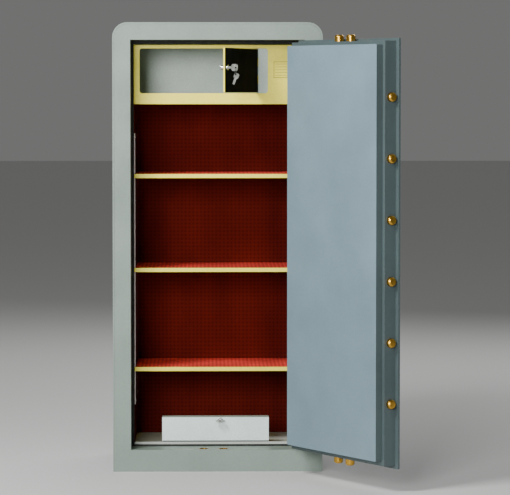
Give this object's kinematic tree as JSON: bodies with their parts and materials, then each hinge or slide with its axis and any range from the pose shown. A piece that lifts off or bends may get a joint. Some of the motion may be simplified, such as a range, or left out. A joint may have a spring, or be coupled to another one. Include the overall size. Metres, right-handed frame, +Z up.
{
  "type": "gun safe",
  "caption": "Upright steel gun safe with an open bolted door, red lined shelves, an inner locker with its own keyed door, and a small keyed cartridge box on the floor.",
  "frame": {"origin": "middle of the base, on the floor", "axes": "+X to the right seen from the front, +Y from the front to the back, +Z up"},
  "size_m": [0.9237, 1.0285, 1.5],
  "materials": {
    "body_paint": "semi-gloss grey-green paint",
    "door_paint": "semi-gloss blue-grey paint",
    "cream_enamel": "glossy pale yellow enamel",
    "hammertone": "light grey hammered paint",
    "red_lining": "dark red pile lining",
    "bare_steel": "bare steel",
    "brass": "polished brass plating",
    "chrome": "bright chrome",
    "black_seal": "black smoke seal",
    "black_paint": "satin black",
    "white_strip": "off-white paint",
    "red_paint": "dark red paint that matches the lining",
    "grey_floor": "dark grey paint",
    "gypsum": "pressed gypsum board"
  },
  "bodies": {
    "cabinet": {"outer_shell": "body_paint", "back_panel": "body_paint", "base_plate": "body_paint", "front_frame": "body_paint", "strike_side": "brass", "strike_top": "brass", "strike_bottom": "brass", "door_seal": "black_seal", "inner_liner": "body_paint", "floor_plate": "grey_floor", "lining_left": "red_lining", "lining_right": "red_lining", "lining_back": "red_lining", "upright_left_front": "white_strip", "upright_left_rear": "red_paint", "upright_right_front": "white_strip", "upright_right_rear": "red_paint", "shelf_upper": "cream_enamel", "shelf_middle": "cream_enamel", "shelf_lower": "cream_enamel", "shelf_mat_upper": "red_lining", "shelf_mat_middle": "red_lining", "shelf_mat_lower": "red_lining", "locker_case": "hammertone", "locker_fascia": "cream_enamel", "locker_hinge": "hammertone", "ammo_case": "hammertone", "hinge_frame_upper": "body_paint", "hinge_frame_lower": "body_paint"},
    "door": {"door_plate": "door_paint", "bolt_box": "door_paint", "inner_cover": "door_paint", "door_fireboard": "gypsum", "hinge_door_upper": "door_paint", "hinge_door_lower": "door_paint", "dial_ring": "chrome", "lock_case": "bare_steel"},
    "handle": {"handle": "chrome", "handle_spindle": "bare_steel"},
    "dial": {"dial": "black_paint"},
    "side_bolts": {"side_bolt_bar": "bare_steel", "side_bolt_1": "brass", "side_bolt_2": "brass", "side_bolt_3": "brass", "side_bolt_4": "brass", "side_bolt_5": "brass", "side_bolt_6": "brass"},
    "top_bolts": {"top_bolts": "brass"},
    "bottom_bolts": {"bottom_bolts": "brass"},
    "locker_door": {"locker_door_panel": "cream_enamel", "locker_door_skin": "black_paint", "locker_lock_barrel": "chrome"},
    "locker_key": {"locker_cam": "chrome", "locker_key": "chrome"},
    "key_ring": {"key_ring": "chrome"},
    "spare_key": {"spare_key": "chrome"},
    "ammo_flap": {"ammo_flap": "hammertone", "ammo_lock_barrel": "chrome"},
    "ammo_key": {"ammo_cam": "chrome", "ammo_key": "chrome"}
  },
  "joints": [
    {"name": "door_hinge", "type": "hinge", "parent": "cabinet", "child": "door", "pos_m": [0.2889, -0.2585, 0.75], "axis": [0, 0, 1], "range_deg": [-121.36, 12.64]},
    {"name": "locker_door_hinge", "type": "hinge", "parent": "cabinet", "child": "locker_door", "pos_m": [0.1355, -0.1182, 1.33965], "axis": [0, 0, 1], "range_deg": [-73.31, 7.7]},
    {"name": "handle_turn", "type": "hinge", "parent": "door", "child": "handle", "pos_m": [0.43925, -0.5052, 0.75], "axis": [-0.8539, -0.5204, 0], "range_deg": [-25, 30]},
    {"name": "side_bolts_slide", "type": "slide", "parent": "door", "child": "side_bolts", "axis": [0.5204, -0.8539, 0], "range_m": [-0.017, 0.0205]},
    {"name": "top_bolts_slide", "type": "slide", "parent": "door", "child": "top_bolts", "axis": [0, 0, 1], "range_m": [-0.017, 0.0205]},
    {"name": "bottom_bolts_slide", "type": "slide", "parent": "door", "child": "bottom_bolts", "axis": [0, 0, -1], "range_m": [-0.017, 0.0205]},
    {"name": "dial_spin", "type": "hinge", "parent": "door", "child": "dial", "pos_m": [0.43925, -0.5052, 0.96], "axis": [-0.8539, -0.5204, 0], "continuous": true},
    {"name": "locker_key_turn", "type": "hinge", "parent": "locker_door", "child": "locker_key", "pos_m": [0.02616, -0.48265, 1.34815], "axis": [-0.9578, 0.2874, 0], "range_deg": [0, 180]},
    {"name": "key_ring_swing", "type": "hinge", "parent": "locker_key", "child": "key_ring", "pos_m": [0.05758, -0.49208, 1.34635], "axis": [0.2874, 0.9578, 0], "range_deg": [-2, 12]},
    {"name": "spare_key_swing", "type": "hinge", "parent": "key_ring", "child": "spare_key", "pos_m": [0.05758, -0.49208, 1.32835], "axis": [0.2874, 0.9578, 0], "range_deg": [-2, 12]},
    {"name": "ammo_flap_hinge", "type": "hinge", "parent": "cabinet", "child": "ammo_flap", "pos_m": [-0.0075, -0.1335, 0.0895], "axis": [1, 0, 0], "range_deg": [0, 78]},
    {"name": "ammo_key_turn", "type": "hinge", "parent": "ammo_flap", "child": "ammo_key", "pos_m": [0.0085, -0.1335, 0.1588], "axis": [0, 1, 0], "range_deg": [0, 90]}
  ],
  "couplings": [
    {"joint": "locker_door_hinge", "follows": "door_hinge", "ratio": 0.604},
    {"joint": "side_bolts_slide", "follows": "handle_turn", "m_per_rad": 0.0384},
    {"joint": "top_bolts_slide", "follows": "handle_turn", "m_per_rad": 0.0384},
    {"joint": "bottom_bolts_slide", "follows": "handle_turn", "m_per_rad": 0.0384}
  ]
}
